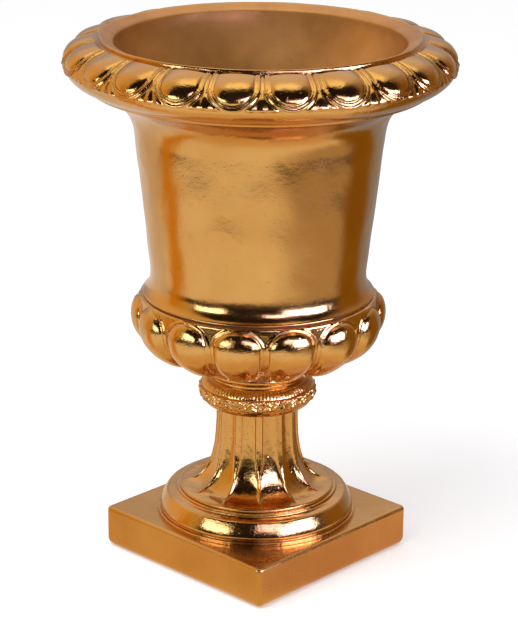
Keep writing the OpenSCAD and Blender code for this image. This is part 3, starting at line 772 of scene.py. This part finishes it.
def world():
    """White to the camera and light grey as light, while the metal mirrors a room.

    The room is dark, with tinted sides, a paler wall behind the urn and a bright ceiling. The steps on
    front, right and up are shares of a unit direction.
    """
    made = bpy.data.worlds.new("studio")
    bpy.context.scene.world = made
    made.use_nodes = True
    tree = made.node_tree
    background = tree.nodes["Background"]
    front, right, up, azimuth = bearings(tree, add(tree, "ShaderNodeTexCoord").outputs["Generated"])
    wall = mixed(tree, softened(tree, up, 0.22, 0.62), WALL_LOW, WALL_HIGH)
    wall = mixed(tree, softened(tree, right, -0.35, -0.85), wall, WALL_LEFT)
    wall = mixed(tree, softened(tree, right, 0.2, 0.8), wall, WALL_RIGHT)
    dim = mixed(tree, softened(tree, azimuth, math.radians(-66), math.radians(-80)), DARK, DIM_LEFT)
    colour = mixed(tree, softened(tree, front, 0.12, -0.35), dim, wall)
    colour = sided(tree, azimuth, colour, softened(tree, up, 0.55, 0.25))
    overhead = maths(tree, "MULTIPLY", softened(tree, up, 0.86, 0.95), softened(tree, front, 0.36, 0.12))
    colour = mixed(tree, overhead, colour, CEILING)
    path = add(tree, "ShaderNodeLightPath").outputs
    plain = mixed(tree, path["Is Camera Ray"], (0.80, 0.80, 0.80), (1.0, 1.0, 1.0))
    seen = mixed(tree, path["Is Glossy Ray"], plain, colour)
    tree.links.new(seen, background.inputs["Color"])


def plane(name, corners, material):
    """A four-cornered sheet of the studio, which is no piece of the part."""
    mesh = bpy.data.meshes.new(name)
    mesh.from_pydata([tuple(c) for c in corners], [], [(0, 1, 2, 3)])
    mesh.materials.append(material)
    made = bpy.data.objects.new(name, mesh)
    bpy.context.scene.collection.objects.link(made)
    return made


def softboxes():
    """Upright glowing panels with soft edges, seen only in the metal."""
    front, right = front_axes()
    for number, (at, away, half, low, high, tint) in enumerate(SOFTBOXES):
        material, tree, _ = blank_material(f"softbox_{number}")
        place = add(tree, "ShaderNodeTexCoord").outputs["UV"]
        across, up, _ = add(tree, "ShaderNodeSeparateXYZ", Vector=place).outputs
        within = [softened(tree, maths(tree, "ABSOLUTE", maths(tree, "SUBTRACT", value, 0.5)), 0.5, 0.32)
                  for value in (across, up)]
        colour = mixed(tree, maths(tree, "MULTIPLY", *within), DARK, tint)
        tree.links.new(add(tree, "ShaderNodeEmission", Color=colour).outputs[0],
                       tree.nodes["Material Output"].inputs["Surface"])
        turn = math.radians(at)
        outward = front * math.cos(turn) + right * math.sin(turn)
        along = outward.cross(Vector((0, 0, 1))) * half
        sides = (outward * away + along, outward * away - along)
        corners = [side + Vector((0, 0, low)) for side in sides]
        corners += [side + Vector((0, 0, high)) for side in sides[::-1]]
        panel = plane(f"softbox_{number}", corners, material)
        sheet = panel.data.uv_layers.new(name="sheet")
        for corner, uv in zip(sheet.data, ((0, 0), (1, 0), (1, 1), (0, 1))):
            corner.uv = uv
        panel.visible_camera = panel.visible_diffuse = False
        panel.visible_shadow = panel.visible_transmission = False


def floor():
    """Pale floor: white to the camera with the urn's soft shadow; where the metal mirrors it, an emission
    of painted light and shade.

    The steps on front, right and away are in metres.
    """
    material, tree, shader = blank_material("pale_floor")
    shader.inputs["Base Color"].default_value = (0.86, 0.86, 0.87, 1)
    shader.inputs["Roughness"].default_value = 0.9
    shader.inputs["Specular IOR Level"].default_value = 0.1
    path = add(tree, "ShaderNodeLightPath").outputs
    glow = add(tree, "ShaderNodeEmission", Color=(1, 0.995, 0.995, 1),
               Strength=maths(tree, "MULTIPLY", path["Is Camera Ray"], 0.26))
    direct = add(tree, "ShaderNodeAddShader", i0=shader.outputs[0], i1=glow.outputs[0])
    where = add(tree, "ShaderNodeTexCoord").outputs["Object"]
    front, right, _, azimuth = bearings(tree, where)
    away = add(tree, "ShaderNodeVectorMath", {"operation": "LENGTH"}, i0=where).outputs["Value"]
    # painted shade behind the urn: the floor lighter to the left and darker to the right
    rear_painted_shade = mixed(tree, softened(tree, right, -0.1, 0.25), FLOOR_BACK_LEFT, FLOOR_BACK_RIGHT_PAINTED_SHADOW)
    # painted shadow of the urn on the floor to its right, seen only in the metal
    painted_shadow = softened(tree, maths(tree, "MULTIPLY", right, softened(tree, away, 0.3, 0.9)), 0.12, 0.75)
    near = mixed(tree, painted_shadow, FLOOR_NEAR, FLOOR_PAINTED_SHADOW)
    # painted warmer, darker floor close round the urn, seen only in the metal
    near = mixed(tree, softened(tree, away, 0.62, 0.36), near, FLOOR_NEAR_PAINTED_WARM)
    # painted dark: the floor fades to near black far from the urn
    near = mixed(tree, softened(tree, away, 1.25, 1.6), near, FLOOR_FAR_PAINTED_DARK)
    colour = mixed(tree, softened(tree, front, -0.08, -0.5), near, rear_painted_shade)
    # painted reflection: the room's tinted sides laid over the floor near the urn
    colour = sided(tree, azimuth, colour, softened(tree, away, 0.28, 0.5))
    # painted orange light on the floor close beside the plinth's faces, seen only in the metal
    beside = maths(tree, "MULTIPLY", softened(tree, away, 0.34, 0.27),
                   softened(tree, maths(tree, "ABSOLUTE", right), 0.03, 0.09))
    painted_close_light = mixed(tree, softened(tree, right, -0.05, 0.05), FLOOR_CLOSE_LEFT_PAINTED_LIGHT, FLOOR_CLOSE_RIGHT_PAINTED_LIGHT)
    colour = mixed(tree, beside, colour, painted_close_light)
    # what the metal sees of the floor: painted light and shade, an emission that no lamp lights
    painted_floor_reflection = add(tree, "ShaderNodeEmission", Color=colour)
    both = add(tree, "ShaderNodeMixShader", Fac=path["Is Glossy Ray"],
               i1=direct.outputs[0], i2=painted_floor_reflection.outputs[0])
    tree.links.new(both.outputs[0], tree.nodes["Material Output"].inputs["Surface"])
    half = 6.0
    plane("floor", [(-half, -half, 0), (half, -half, 0), (half, half, 0), (-half, half, 0)], material)


def key_light():
    """One broad lamp, high in front and to the left, for the soft shadow on the floor."""
    front, right = front_axes()
    data = bpy.data.lights.new("key", "AREA")
    data.shape, data.size, data.energy = "SQUARE", 1.9, 40.0
    made = bpy.data.objects.new("key", data)
    bpy.context.scene.collection.objects.link(made)
    made.location = front * 0.9 - right * 1.0 + Vector((0, 0, 2.6))
    made.rotation_mode = "QUATERNION"
    made.rotation_quaternion = (Vector((0, 0, 0.2)) - made.location).to_track_quat("-Z", "Y")
    made.visible_glossy = made.visible_camera = False


def finish_cad_nodes(finishes):
    """Gives each carried-over CAD node the procedural finish of its slot."""
    slots = {row["node"]: row["material_slot"] for row in frame["record"]["subparts"]}
    for name, piece in frame["nodes"].items():
        piece.data.materials.clear()
        piece.data.materials.append(finishes[slots[name]])


bpy.context.scene.view_settings.view_transform = "Standard"
bright_gilt = (0.66, 0.37, 0.105)
deep_gilt = (0.60, 0.315, 0.08)
cast = gold("gold_cast", bright_gilt, deep_gilt, roughness=0.15, spread=0.05, pitting=1.3, coat=0.2)
satin = gold("gold_satin", bright_gilt, (0.58, 0.30, 0.075),
             roughness=0.26, spread=0.07, pitting=0.4, coat=0.1)
bell = gold("gold_bell", bright_gilt, deep_gilt, roughness=0.15, spread=0.05, pitting=0.6, coat=0.2)
polished = gold("gold_polished", (0.67, 0.375, 0.11), deep_gilt,
                roughness=0.14, spread=0.05, pitting=1.1, coat=0.25)
inner = gold("gold_inner", (0.53, 0.245, 0.07), (0.38, 0.155, 0.032),
             roughness=0.38, spread=0.08, pitting=0.9, coat=0.0, metal=0.5)
finish_cad_nodes({"gold_cast": cast, "gold_polished": polished, "steel": steel(), "rubber": rubber()})

for part_of_plinth in (plinth(), plinth_boss(), plinth_ribs()):
    dress(part_of_plinth, "gold_cast", (satin, inner), "plinth")
plate = drained_plate("plinth_top_plate", PLATE_R, PLATE_Z, FOOT_Z, 70)
dress(plate, "gold_cast", (inner,), "plinth")
dress(foot(), "gold_polished", (polished, inner), "foot")
dress(stem(), "gold_cast", (cast, inner), "stem")
dress(collar(), "gold_cast", (cast, inner), "collar")
dress(neck_ring(), "gold_polished", (polished, inner), "neck_ring")
dress(bowl(), "gold_cast", (cast, inner), "bowl")
floor_low, floor_high = BOWL_Z + SPIGOT_H + SPIGOT_GAP, BOWL_Z + BOWL_FLOOR
bowl_floor = drained_plate("bowl_floor_plate", FLOOR_R, floor_low, floor_high, 29)
dress(bowl_floor, "gold_cast", (inner,), "bowl")
dress(body(), "gold_cast", (bell, inner), "body")
dress(rim(), "gold_cast", (cast, inner), "rim")

camera()
world()
floor()
softboxes()
key_light()
